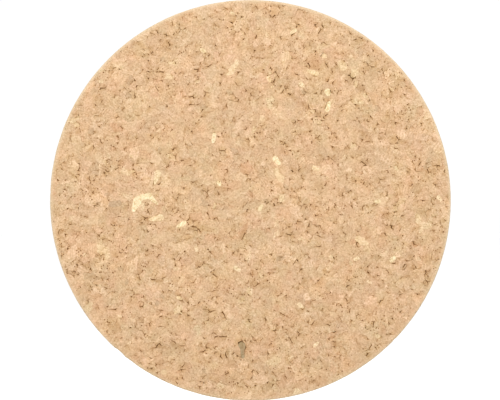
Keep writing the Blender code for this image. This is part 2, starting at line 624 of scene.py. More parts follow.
def bridge(mesh, lower, upper, uv_lower, uv_upper, fallback, pale_and_highlight=0.6):
    """Triangles between two closed rings of mesh points, both sorted by angle. Each ring is a list of (index, angle, tint)."""
    n, m = len(lower), len(upper)
    angle_l = [r[1] for r in lower] + [lower[0][1] + 2 * math.pi]
    angle_u = [r[1] for r in upper] + [upper[0][1] + 2 * math.pi]
    i = j = 0
    while i < n or j < m:
        a, b = lower[i % n], upper[j % m]
        ua, ub = uv_lower(angle_l[i]), uv_upper(angle_u[j])
        if j >= m or (i < n and angle_l[i + 1] <= angle_u[j + 1]):
            c = lower[(i + 1) % n]
            face, uv = (a[0], c[0], b[0]), [ua, uv_lower(angle_l[i + 1]), ub]
            i += 1
        else:
            c = upper[(j + 1) % m]
            face, uv = (a[0], c[0], b[0]), [ua, uv_upper(angle_u[j + 1]), ub]
            j += 1
        tint, grain = a[2] or fallback
        # Arris faces are mixed towards a pale colour: partly the paler fresh-cut cork, partly a painted highlight along
        # the rounded edge.
        mesh.add_face(face, tint * (1 - pale_and_highlight) + srgb(*CORK_ARRIS_PALE_AND_HIGHLIGHT) * pale_and_highlight, grain, uv)


# Places on the baked map: two discs, and the side wall in two rows under them.
UV_FRONT = (0.335, 0.662, 0.328)
UV_BACK = (0.770, 0.300, 0.222)


def uv_disc(place):
    u0, v0, r = place

    def to_uv(points):
        return [(u0 + q[0] / RADIUS * r, v0 + q[1] / RADIUS * r) for q in points]

    return to_uv


def uv_wall(length, height):
    half = length / 2

    def to_uv(points):
        middle = sum(q[0] for q in points) / len(points)
        turn = math.floor(middle / length) * length
        row = int(middle - turn >= half)
        return [
            (0.02 + 0.96 * (q[0] - turn - row * half) / half, 0.006 + row * 0.034 + 0.026 * q[1] / height)
            for q in points
        ]

    return to_uv


def cork_disc():
    rng = np.random.default_rng(SEED)
    mesh = CorkMesh()
    height = BACK_Y - FRONT_Y - 2 * EDGE
    length = 2 * math.pi * RADIUS

    def front(x, y, depth):
        return np.stack([x, FRONT_Y + depth, y], 1) * MM

    def back(x, y, depth):
        return np.stack([-x, BACK_Y - depth, y], 1) * MM

    wobble = [Noise2D(rng, 9.0), Noise2D(rng, 2.6), Noise2D(rng, 60.0)]

    def bumpy(angle, v):
        """How far the cut side wall stands in from the true radius: a punched cork edge isn't quite even."""
        along = angle * RADIUS
        rough = 0.035 * wobble[0](along, v) + 0.045 * wobble[1](along, v) + 0.03 * wobble[2](along, 0)
        return rough

    def nick(angle):
        """How far a few lost crumbs set the front edge back, 0 away from them."""
        total = np.zeros(np.shape(angle))
        for at, half_width, depth in NICKS:
            away = (np.asarray(angle) - math.radians(at) + math.pi) % (2 * math.pi) - math.pi
            total = np.maximum(total, depth * np.exp(-((away * RADIUS / half_width) ** 4)))
        return total

    def wall(x, v, depth):
        angle = x / RADIUS
        fade = np.clip(np.minimum(v, height - v) / 0.6, 0, 1)
        near_front = np.exp(-(((height - v) / 6.0) ** 2))
        r = RADIUS - depth - bumpy(angle, v) * (0.4 + 0.6 * fade) - nick(angle) * near_front
        return np.stack([r * np.cos(angle), BACK_Y - EDGE - v, r * np.sin(angle)], 1) * MM

    gmap, special = face_map(rng, 0.72, 0.36, CHIPS)
    cluster = Noise2D(rng, 14.0)
    front_rim = build_surface(mesh, gmap, front, uv_disc(UV_FRONT), rng, 0.100, cluster, special, CRACKS)[-1]
    print("front granules", len(gmap.loops), "faces", len(mesh.faces))
    gmap, _ = face_map(rng, 1.00, 0.70, fine=0.25)
    back_rim = build_surface(mesh, gmap, back, uv_disc(UV_BACK), rng, 0.085, Noise2D(rng, 14.0))[-1]
    print("back granules", len(gmap.loops), "faces", len(mesh.faces))
    gmap = strip_map(rng, 0.85, 0.38, height)
    rims = build_surface(mesh, gmap, wall, uv_wall(length, height), rng, 0.12, Noise2D(rng, 14.0))
    print("wall granules", len(gmap.loops), "faces", len(mesh.faces))

    fallback = (srgb(*CORK_BASE), np.array([1.0, 0.0, 0.0]))

    def ring(members, angle_of):
        out = []
        for index, x, y, paint in members:
            out.append((index, angle_of(x, y), paint or fallback))
        return sorted(out, key=lambda r: r[1])

    front_ring = ring(front_rim, lambda x, y: math.atan2(y, x) % (2 * math.pi))
    back_ring = ring(back_rim, lambda x, y: math.atan2(y, -x) % (2 * math.pi))
    wall_back = ring(rims[-1], lambda x, y: (x / RADIUS) % (2 * math.pi))
    wall_front = ring(rims[-2], lambda x, y: (x / RADIUS) % (2 * math.pi))

    def middle_ring(near, y_face, inward):
        """The rounded arris halfway between a face and the wall, with crumbs missing here and there."""
        angles = np.arange(600) * 2 * math.pi / 600 + rng.uniform(-0.0022, 0.0022, 600)
        angles = np.sort(angles % (2 * math.pi))
        lost = rng.normal(0, 0.035, 600).clip(-0.05, 0.2)
        crumbs = rng.uniform(0, 1, 600) < 0.05
        lost[crumbs] += rng.uniform(0.08, 0.32, crumbs.sum())
        if inward > 0:
            lost += 1.1 * nick(angles)
            crumbs |= (nick(angles) > 0.12) & (nick(angles) < 0.25)
        r = RADIUS - EDGE * (1 - math.cos(math.pi / 4)) - lost * 0.8
        y = y_face + inward * (EDGE * (1 - math.sin(math.pi / 4)) + lost * 0.6)
        points = np.stack([r * np.cos(angles), y, r * np.sin(angles)], 1) * MM
        # Where crumbs are missing, the arris points get a darker value: painted shade in the gaps.
        first = mesh.add_points(points, np.where(crumbs, 0.5, rng.uniform(0, 0.12, 600)))
        near_angles = np.array([q[1] for q in near])
        out = []
        for k, a in enumerate(angles):
            n = near[int(np.searchsorted(near_angles, a)) % len(near)]
            out.append((first + k, float(a), n[2]))
        return out

    def uv_ring(place, radius, flip):
        u0, v0, r = place

        def at(angle):
            x = math.cos(angle) * (-1 if flip else 1)
            return (u0 + x * radius / RADIUS * r, v0 + math.sin(angle) * radius / RADIUS * r)

        return at

    mid_front = middle_ring(front_ring, FRONT_Y, 1)
    mid_back = middle_ring(back_ring, BACK_Y, -1)
    r_mid = RADIUS - EDGE * (1 - math.cos(math.pi / 4))
    f, b = UV_FRONT, UV_BACK
    bridge(mesh, wall_front, mid_front, uv_ring(f, RADIUS, False), uv_ring(f, r_mid, False), fallback)
    bridge(mesh, mid_front, front_ring, uv_ring(f, r_mid, False), uv_ring(f, FACE_RADIUS, False), fallback)
    bridge(mesh, back_ring, mid_back, uv_ring(b, FACE_RADIUS, True), uv_ring(b, r_mid, True), fallback)
    bridge(mesh, mid_back, wall_back, uv_ring(b, r_mid, True), uv_ring(b, RADIUS, True), fallback)

    data = bpy.data.meshes.new("cork_board")
    points = np.concatenate(mesh.points)
    data.from_pydata(points.tolist(), [], mesh.faces)
    sizes = np.array([len(face) for face in mesh.faces])
    tint = np.ones((sizes.sum(), 4))
    tint[:, :3] = np.repeat(np.array(mesh.tints), sizes, axis=0)
    data.attributes.new("cork_tint", "FLOAT_COLOR", "CORNER").data.foreach_set("color", tint.ravel())
    grain = np.repeat(np.array(mesh.grains), sizes, axis=0)
    data.attributes.new("cork_grain", "FLOAT_VECTOR", "CORNER").data.foreach_set("vector", grain.ravel())
    groove = np.concatenate(mesh.groove)
    data.attributes.new("cork_groove_shade", "FLOAT", "POINT").data.foreach_set("value", groove)
    uv = data.uv_layers.new(name="OFBake")
    uv.data.foreach_set("uv", np.array([c for face in mesh.uvs for c in face]).ravel())
    data.update()
    print("faces", len(data.polygons), "triangles", int((sizes - 2).sum()))
    obj = bpy.data.objects.new("cork_board", data)
    bpy.context.scene.collection.objects.link(obj)
    return obj


# ------------------------------------------------------------------ materials
class Nodes:
    """Short names for building a node tree."""

    def __init__(self, name):
        self.material = bpy.data.materials.new(name)
        self.material.use_nodes = True
        self.tree = self.material.node_tree
        self.shader = self.tree.nodes["Principled BSDF"]

    def add(self, kind, **settings):
        node = self.tree.nodes.new(kind)
        for key, value in settings.items():
            setattr(node, key, value)
        return node

    def put(self, socket, value):
        """Links an output to the socket, or sets the socket to a constant."""
        if isinstance(value, bpy.types.NodeSocket):
            self.tree.links.new(value, socket)
        else:
            socket.default_value = value
        return socket

    def math(self, operation, a, b=0.0, c=0.0, clamp=False):
        node = self.add("ShaderNodeMath", operation=operation, use_clamp=clamp)
        for socket, value in zip(node.inputs, (a, b, c)):
            self.put(socket, value)
        return node.outputs[0]

    def vector(self, operation, a, b=(0.0, 0.0, 0.0), scale=None):
        node = self.add("ShaderNodeVectorMath", operation=operation)
        self.put(node.inputs[0], a)
        if scale is None:
            self.put(node.inputs[1], b)
        else:
            self.put(node.inputs["Scale"], scale)
        return node.outputs[0]

    def stretch(self, vector, scale):
        return self.vector("MULTIPLY", vector, scale)

    def noise(self, vector, scale, detail=2.0, roughness=0.5, distortion=0.0, out="Fac"):
        node = self.add("ShaderNodeTexNoise")
        self.put(node.inputs["Vector"], vector)
        self.put(node.inputs["Scale"], scale)
        self.put(node.inputs["Detail"], detail)
        self.put(node.inputs["Roughness"], roughness)
        self.put(node.inputs["Distortion"], distortion)
        return node.outputs[out]

    def voronoi(self, vector, scale, feature="F1"):
        node = self.add("ShaderNodeTexVoronoi", feature=feature)
        self.put(node.inputs["Vector"], vector)
        self.put(node.inputs["Scale"], scale)
        return node

    def remap(self, value, low, high, to_low=0.0, to_high=1.0, smooth=False):
        node = self.add("ShaderNodeMapRange")
        if smooth:
            node.interpolation_type = "SMOOTHSTEP"
        for name, v in (
            ("Value", value),
            ("From Min", low),
            ("From Max", high),
            ("To Min", to_low),
            ("To Max", to_high),
        ):
            self.put(node.inputs[name], v)
        return node.outputs["Result"]

    def ramp(self, value, stops):
        node = self.add("ShaderNodeValToRGB")
        while len(node.color_ramp.elements) < len(stops):
            node.color_ramp.elements.new(0.5)
        for element, (at, v) in zip(node.color_ramp.elements, stops):
            element.position = at
            element.color = (v, v, v, 1.0) if isinstance(v, float) else (*v, 1.0)
        self.put(node.inputs["Fac"], value)
        return node.outputs["Color"]

    def mix(self, factor, a, b, blend="MIX"):
        node = self.add("ShaderNodeMix", data_type="RGBA", blend_type=blend)
        self.put(node.inputs[0], factor)
        for socket, value in ((node.inputs[6], a), (node.inputs[7], b)):
            if not isinstance(value, bpy.types.NodeSocket):
                value = (*value, 1.0)
            self.put(socket, value)
        return node.outputs[2]

    def bump(self, height, strength, distance, normal=None):
        node = self.add("ShaderNodeBump")
        self.put(node.inputs["Height"], height)
        self.put(node.inputs["Strength"], strength)
        self.put(node.inputs["Distance"], distance)
        if normal is not None:
            self.put(node.inputs["Normal"], normal)
        return node.outputs["Normal"]

    def object_mm(self):
        coordinates = self.add("ShaderNodeTexCoord").outputs["Object"]
        return self.vector("SCALE", coordinates, scale=1000.0)

    def attribute(self, name, output):
        node = self.add("ShaderNodeAttribute", attribute_name=name)
        return node.outputs[output]

    def finish(self, color, roughness, normal=None, specular=0.5):
        self.put(self.shader.inputs["Base Color"], color)
        self.put(self.shader.inputs["Roughness"], roughness)
        self.shader.inputs["Specular IOR Level"].default_value = specular
        if normal is not None:
            self.put(self.shader.inputs["Normal"], normal)
        return self.material


def cork_material():
    n = Nodes("cork")
    here = n.object_mm()
    grain = n.attribute("cork_grain", "Vector")
    tint = n.attribute("cork_tint", "Color")
    groove = n.attribute("cork_groove_shade", "Fac")

    # Each granule carries its own direction of growth, so the cell streaks turn from one to the next.
    turned = n.add("ShaderNodeVectorRotate", rotation_type="AXIS_ANGLE")
    n.put(turned.inputs["Vector"], here)
    n.put(turned.inputs["Axis"], grain)
    n.put(turned.inputs["Angle"], 2.3)
    own = n.vector("ADD", turned.outputs["Vector"], n.vector("SCALE", grain, scale=31.0))

    streak = n.noise(n.stretch(own, (0.55, 2.6, 1.3)), 1.0, 3.0, 0.6)
    mottle = n.noise(own, 1.3, 4.0, 0.62, 0.4)
    fine = n.noise(here, 1.15, 2.0, 0.65)
    bent = n.vector("ADD", own, n.vector("SCALE", n.noise(own, 0.7, 2.0, out="Color"), scale=1.4))
    crumbs = n.add("ShaderNodeSeparateColor")
    n.put(crumbs.inputs[0], n.voronoi(bent, 0.80).outputs["Color"])
    broad = n.noise(here, 0.055, 2.0, 0.5)

    # Growth layers: bands across the granule, plain in some granules and hardly there in others.
    bands = n.add("ShaderNodeTexWave", wave_type="BANDS", bands_direction="Y", wave_profile="SIN")
    for name, value in (("Vector", own), ("Scale", 0.27), ("Distortion", 3.2), ("Detail", 2.0), ("Detail Scale", 1.6)):
        n.put(bands.inputs[name], value)
    axis = n.add("ShaderNodeSeparateXYZ")
    n.put(axis.inputs[0], grain)
    layered = n.remap(axis.outputs["Z"], -0.2, 0.9, 0.0, LAYERS)

    gain = n.remap(streak, 0.25, 0.75, 1 - STREAK, 1 + STREAK)
    gain = n.math("MULTIPLY", gain, n.remap(mottle, 0.25, 0.75, 1 - MOTTLE, 1 + MOTTLE))
    gain = n.math("MULTIPLY", gain, n.remap(fine, 0.25, 0.75, 1 - FINE, 1 + FINE))
    gain = n.math("MULTIPLY", gain, n.remap(broad, 0.3, 0.7, 1 - BROAD, 1 + BROAD))
    gain = n.math("MULTIPLY", gain, n.remap(crumbs.outputs[0], 0.0, 1.0, 1 - CRUMB, 1 + CRUMB))
    wave = n.math("SUBTRACT", bands.outputs["Fac"], 0.5)
    gain = n.math("MULTIPLY", gain, n.math("ADD", 1.0, n.math("MULTIPLY", wave, layered)))

    # Hair cracks: the zero lines of a noise, broken up by another.
    line = n.math("ABSOLUTE", n.math("SUBTRACT", n.noise(own, 0.75, 2.0, 0.6, 0.8), 0.5))
    line = n.remap(line, 0.0, 0.045, 1.0, 0.0, smooth=True)
    broken = n.remap(n.noise(here, 0.62, 1.0), 0.50, 0.62)
    crack = n.math("MULTIPLY", line, broken)
    crack = n.math("MULTIPLY", crack, CRACK)

    # Lenticels and dust-filled pores: small brown dots, denser in some places than in others.
    cells = n.voronoi(own, 0.72)
    draw = n.add("ShaderNodeSeparateColor")
    n.put(draw.inputs[0], cells.outputs["Color"])
    crowd = n.noise(here, 0.11, 2.0, 0.5)
    chance = n.remap(crowd, 0.35, 0.68, SPECK_LOW, SPECK_HIGH)
    size = n.math("SUBTRACT", chance, draw.outputs[0])
    edge = n.math("SUBTRACT", size, cells.outputs["Distance"])
    speck = n.remap(edge, -0.14, 0.10, 0.0, 1.0, smooth=True)
    speck = n.math("MULTIPLY", speck, n.remap(draw.outputs[1], 0.0, 1.0, 0.2, 0.85))

    # Pinholes: smaller and sharper than the specks.
    cells = n.voronoi(here, 1.05)
    draw = n.add("ShaderNodeSeparateColor")
    n.put(draw.inputs[0], cells.outputs["Color"])
    size = n.math("SUBTRACT", n.remap(crowd, 0.35, 0.68, PIN_LOW, PIN_HIGH), draw.outputs[0])
    pin = n.remap(n.math("SUBTRACT", size, cells.outputs["Distance"]), -0.08, 0.06, 0.0, 0.75, smooth=True)
    speck = n.math("MAXIMUM", speck, pin)

    # Grooves and pits between the granules, darkened in colour: partly the dark binder, partly painted shade in the
    # recesses.
    depth = n.math("DIVIDE", groove, 2.6)
    shade = n.ramp(depth, [(0.0, 0.0), (0.10, GROOVE_SHADE_FAINT), (0.30, GROOVE_SHADE_PLAIN), (0.55, GROOVE_SHADE_DEEP), (0.85, 0.94)])
    ragged = n.remap(n.noise(here, 2.3, 2.0), 0.3, 0.7, 0.55, 1.20)
    shade = n.math("MULTIPLY", shade, ragged)
    shade = n.math("MINIMUM", shade, 1.0)
    mark = n.math("MULTIPLY", n.math("SUBTRACT", 1.0, shade), n.math("SUBTRACT", 1.0, speck))
    mark = n.math("MULTIPLY", mark, n.math("SUBTRACT", 1.0, crack))
    mark = n.math("SUBTRACT", 1.0, n.math("MULTIPLY", n.math("SUBTRACT", 1.0, mark), MARK_DEPTH))

    # Darker cork is browner, so green and blue fall faster than red.
    color = tint
    for value, powers in ((gain, TONE), (mark, MARK_TONE)):
        tone = n.add("ShaderNodeCombineXYZ")
        for socket, power in zip(tone.inputs, powers):
            n.put(socket, n.math("POWER", value, float(power)))
        color = n.vector("MULTIPLY", color, tone.outputs[0])

    # Slow drifts of hue that run across the granules.
    drift = n.remap(n.noise(here, 0.12, 2.0, 0.5), 0.25, 0.75, -DRIFT, DRIFT)
    color = n.vector("MULTIPLY", color, n.vector("ADD", (1.0, 1.0, 1.0), n.vector("SCALE", tuple(WARM_AXIS), scale=drift)))
    drift = n.remap(n.noise(n.vector("ADD", here, (40.0, 9.0, 70.0)), 0.14, 2.0, 0.5), 0.25, 0.75, -0.6 * DRIFT, 0.6 * DRIFT)
    color = n.vector("MULTIPLY", color, n.vector("ADD", (1.0, 1.0, 1.0), n.vector("SCALE", tuple(ROSY_AXIS), scale=drift)))

    # The sanded edge of the pinning face gets a painted highlight: a paler band mixed towards the arris colour,
    # stronger towards the top, where the light comes from.
    place = n.add("ShaderNodeSeparateXYZ")
    n.put(place.inputs[0], here)
    flat = n.vector("MULTIPLY", here, (1.0, 0.0, 1.0))
    reach = n.add("ShaderNodeVectorMath", operation="LENGTH")
    n.put(reach.inputs[0], flat)
    rim_highlight = n.remap(reach.outputs["Value"], FACE_RADIUS - 1.6, FACE_RADIUS + 0.2, 0.0, 1.0, smooth=True)
    rim_highlight = n.math("MULTIPLY", rim_highlight, n.remap(place.outputs["Y"], FRONT_Y + 1.1, FRONT_Y + 0.5))
    rim_highlight = n.math("MULTIPLY", rim_highlight, n.remap(place.outputs["Z"], -100.0, 100.0, RIM_HIGHLIGHT_BOTTOM, RIM_HIGHLIGHT_TOP))
    rim_highlight = n.math("MULTIPLY", rim_highlight, n.remap(n.noise(here, 0.35, 3.0, 0.6), 0.3, 0.6, 0.45, 1.0))
    color = n.mix(n.math("MULTIPLY", rim_highlight, n.math("SUBTRACT", 1.0, shade)), color, linear(*CORK_ARRIS_PALE_AND_HIGHLIGHT))

    height = n.math("ADD", n.math("MULTIPLY", streak, 0.6), n.math("MULTIPLY", n.noise(here, 5.0, 2.0), 0.5))
    height = n.math("SUBTRACT", height, n.math("MULTIPLY", speck, 1.2))
    normal = n.bump(height, 0.55, 0.00006)
    roughness = n.remap(mottle, 0.3, 0.7, 0.80, 0.95)
    return n.finish(color, roughness, normal, specular=0.22)


def linear(*rgb):
    return tuple(float(v) for v in srgb(*rgb))


STREAK = 0.07
MOTTLE = 0.05
FINE = 0.19
CRUMB = 0.03
BROAD = 0.01
LAYERS = 0.14
CRACK = 0.40
MARK_DEPTH = 0.95
MARK_TONE = (1.0, 1.4, 2.2)
DRIFT = 0.038
SPECK_LOW = 0.02
SPECK_HIGH = 0.25
PIN_LOW = 0.12
PIN_HIGH = 0.38
GROOVE_SHADE_FAINT = 0.10
GROOVE_SHADE_PLAIN = 0.20
GROOVE_SHADE_DEEP = 0.50
RIM_HIGHLIGHT_BOTTOM = 0.30
RIM_HIGHLIGHT_TOP = 0.55


def foam_material():
    n = Nodes("foam")
    here = n.object_mm()
    cells = n.voronoi(here, 4.2)
    walls = n.voronoi(here, 4.2, "DISTANCE_TO_EDGE")
    wall = n.remap(walls.outputs["Distance"], 0.0, 0.10, 1.0, 0.0, smooth=True)
    color = n.mix(n.noise(here, 0.35, 2.0), linear(229, 229, 222), linear(239, 238, 233))
    color = n.mix(n.math("MULTIPLY", cells.outputs["Distance"], 0.28), color, linear(198, 197, 188))
    color = n.mix(n.math("MULTIPLY", wall, 0.35), color, linear(250, 250, 246))
    height = n.math("SUBTRACT", wall, n.math("MULTIPLY", cells.outputs["Distance"], 0.6))
    normal = n.bump(height, 0.6, 0.00008)
    roughness = n.remap(n.noise(here, 1.2, 2.0), 0.3, 0.7, 0.58, 0.80)
    material = n.finish(color, roughness, normal, specular=0.4)
    n.shader.inputs["Subsurface Weight"].default_value = 0.12
    n.shader.inputs["Subsurface Radius"].default_value = (0.001, 0.001, 0.001)
    n.shader.inputs["Subsurface Scale"].default_value = 1.0
    return material


def liner_material():
    n = Nodes("liner")
    here = n.object_mm()
    fibres = n.noise(n.stretch(here, (0.5, 1.0, 2.2)), 0.9, 4.0, 0.65, 0.6)
    cloud = n.noise(here, 0.16, 3.0, 0.55)
    color = n.mix(n.remap(cloud, 0.3, 0.7), linear(192, 180, 148), linear(203, 193, 165))
    color = n.mix(n.remap(fibres, 0.52, 0.72, 0.0, 0.5), color, linear(172, 158, 122))
    height = n.math("ADD", n.math("MULTIPLY", fibres, 0.7), n.noise(here, 3.0, 2.0))
    normal = n.bump(height, 0.25, 0.00003)
    roughness = n.remap(fibres, 0.3, 0.7, 0.34, 0.48)
    return n.finish(color, roughness, normal, specular=0.5)


# ------------------------------------------------------------------ foam squares and liners
def rounded(points, half, corner):
    """Pulls the corners of a square grid in to rounded ones."""
    p = points.copy()
    q = np.abs(p) - (half - corner)
    both = (q > 0).all(1)
    m = q[both].max(1)
    d = np.hypot(q[both, 0], q[both, 1])
    p[both] = np.sign(p[both]) * ((half - corner) + q[both] * (m / d)[:, None])
    return p


def foam_piece(name, node, rng):
    """A die-cut foam square: two adhesive faces with a faint print of the cells, and open cells on the cut sides."""
    low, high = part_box(node)
    centre = ((low[0] + high[0]) / 2 / MM, (low[2] + high[2]) / 2 / MM)
    half = (high[0] - low[0]) / 2 / MM
    front, rear = BACK_Y - 0.012, -0.262
    steps, levels = 34, 7
    line = np.linspace(-half, half, steps + 1)
    gx, gz = np.meshgrid(line, line)
    flat = rounded(np.stack([gx.ravel(), gz.ravel()], 1), half, 1.5)
    bumps = Noise2D(rng, 0.9, 20)
    rough = Noise2D(rng, 0.55, 24)
    points, faces = [], []
    size = steps + 1

    def face_level(y, sign):
        inner = (np.abs(flat).max(1) < half - 0.8).astype(float)
        return y + sign * 0.012 * bumps(flat[:, 0], flat[:, 1]) * inner

    front_y = face_level(front, 1)
    rear_y = face_level(rear, 1)
    for x, y, z in zip(flat[:, 0], front_y, flat[:, 1]):
        points.append((x, y, z))
    for x, y, z in zip(flat[:, 0], rear_y, flat[:, 1]):
        points.append((x, y, z))
    total = size * size
    for j in range(steps):
        for i in range(steps):
            a, b, c, d = j * size + i, j * size + i + 1, (j + 1) * size + i + 1, (j + 1) * size + i
            faces.append((a, b, c, d))
            faces.append((total + a, total + d, total + c, total + b))
    border = (
        [i for i in range(steps)]
        + [j * size + steps for j in range(steps)]
        + [steps * size + i for i in range(steps, 0, -1)]
        + [j * size for j in range(steps, 0, -1)]
    )
    rings = [border]
    n = len(border)
    edge = flat[border]
    outward = edge / np.hypot(edge[:, 0], edge[:, 1])[:, None]
    along = np.arange(n) * 4 * 2 * half / n
    for k in range(1, levels):
        t = k / levels
        y = front + (rear - front) * t
        waist = -0.16 * math.sin(math.pi * t)
        skin = 0.05 if k in (1, levels - 1) else 0.0
        off = waist + skin + 0.055 * rough(along, y * np.ones(n)) * (1.0 if 1 < k < levels - 1 else 0.35)
        start = len(points)
        for (x, z), (ox, oz), o in zip(edge, outward, off):
            points.append((x + ox * o, y, z + oz * o))
        rings.append(list(range(start, start + n)))
    rings.append([total + v for v in border])
    for near, far in zip(rings, rings[1:]):
        for i in range(n):
            j = (i + 1) % n
            faces.append((near[j], near[i], far[i], far[j]))
    return make_piece(name, points, faces, centre, smooth=40.0)


def make_piece(name, points, faces, centre, smooth=None):
    data = bpy.data.meshes.new(name)
    p = np.array(points)
    p[:, 0] += centre[0]
    p[:, 2] += centre[1]
    data.from_pydata((p * MM).tolist(), [], faces)
    data.update()
    if smooth is not None:
        data.shade_smooth()
        data.set_sharp_from_angle(angle=math.radians(smooth))
    obj = bpy.data.objects.new(name, data)
    bpy.context.scene.collection.objects.link(obj)
    return obj


def liner_piece(name, node, turn, rng):
    """Release paper over one foam square. Its finger tab has lifted a little, and its free edges curl."""
    low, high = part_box(node)
    side, corner, tab_w, tab_l, tab_r = 26.4, 2.0, 10.0, 6.5, 3.0
    c, s = round(math.cos(turn)), round(math.sin(turn))
    mid = [(low[0] + high[0]) / 2 / MM, (low[2] + high[2]) / 2 / MM]
    centre = (mid[0] - c * tab_l / 2, mid[1] - s * tab_l / 2)
    h = side / 2

    def arc(cx, cy, r, a0, a1, steps):
        return [
            (cx + r * math.cos(math.radians(a0 + (a1 - a0) * k / steps)), cy + r * math.sin(math.radians(a0 + (a1 - a0) * k / steps)))
            for k in range(steps + 1)
        ]

    w = tab_w / 2
    neck = 1.2
    outline = [(h + neck * (1 - math.cos(a)), -w - neck * (1 - math.sin(a))) for a in np.linspace(0, math.pi / 2, 6)]
    outline += arc(h + tab_l - tab_r, -w + tab_r, tab_r, -90, 0, 8)
    outline += arc(h + tab_l - tab_r, w - tab_r, tab_r, 0, 90, 8)
    outline += [(h + neck * (1 - math.cos(a)), w + neck * (1 - math.sin(a))) for a in np.linspace(math.pi / 2, 0, 6)]
    outline += arc(h - corner, h - corner, corner, 0, 90, 8)
    outline += arc(-h + corner, h - corner, corner, 90, 180, 8)
    outline += arc(-h + corner, -h + corner, corner, 180, 270, 8)
    outline += arc(h - corner, -h + corner, corner, 270, 360, 8)
    edge = []
    for k, p in enumerate(outline):
        q = outline[(k + 1) % len(outline)]
        parts = max(1, int(math.hypot(q[0] - p[0], q[1] - p[1]) / 1.0))
        edge += [(p[0] + (q[0] - p[0]) * t / parts, p[1] + (q[1] - p[1]) * t / parts) for t in range(parts)]
    inner = []
    for x in np.arange(-h + 0.9, h + tab_l, 1.0):
        for y in np.arange(-h + 0.9, h, 1.0):
            inside = (abs(x) < h - 0.6 and abs(y) < h - 0.6) or (h - 0.7 < x < h + tab_l - 0.8 and abs(y) < w - 0.8)
            if inside and not (x < -h + corner and abs(y) > h - corner):
                inner.append((x + rng.uniform(-0.15, 0.15), y + rng.uniform(-0.15, 0.15)))
    from mathutils.geometry import delaunay_2d_cdt

    verts = [Vector(p) for p in edge + inner]
    out = delaunay_2d_cdt(verts, [], [list(range(len(edge)))], 1, 1e-5)
    flat = np.array([tuple(v) for v in out[0]])
    tris = [list(f) for f in out[2]]
    origin = out[3]
    is_edge = np.array([any(o < len(edge) for o in group) for group in origin])
    wave = Noise2D(rng, 16.0)
    beyond = np.clip((flat[:, 0] - (h - 0.8)) / (tab_l + 0.8), 0, 1)
    lift = 0.75 * beyond**1.5
    rim = np.clip((np.abs(flat).max(1) - (h - 1.6)) / 1.6, 0, 1) * (beyond <= 0)
    lift = lift + 0.03 * rim**2 + 0.015 * wave(flat[:, 0], flat[:, 1])
    thickness = 0.17
    y_out = -0.045 + lift
    y_in = y_out - thickness
    x = c * flat[:, 0] - s * flat[:, 1]
    z = s * flat[:, 0] + c * flat[:, 1]
    n = len(flat)
    points = [(x[k], y_out[k], z[k]) for k in range(n)] + [(x[k], y_in[k], z[k]) for k in range(n)]
    faces = []
    border = {}
    for t in tris:
        a, b, d = (np.array([x[i], z[i]]) for i in t[:3])
        turn_sign = (b[0] - a[0]) * (d[1] - a[1]) - (b[1] - a[1]) * (d[0] - a[0])
        # Seen from the wall side, +X runs to the left: the outer face turns clockwise in x, z.
        t = t if turn_sign < 0 else t[::-1]
        faces.append(tuple(t))
        faces.append(tuple(n + i for i in reversed(t)))
        for i, j in zip(t, t[1:] + t[:1]):
            border[(i, j)] = border.get((i, j), 0) + 1
    for i, j in border:
        if (j, i) not in border:
            faces.append((j, i, n + i, n + j))
    return make_piece(name, points, faces, centre, smooth=35.0)


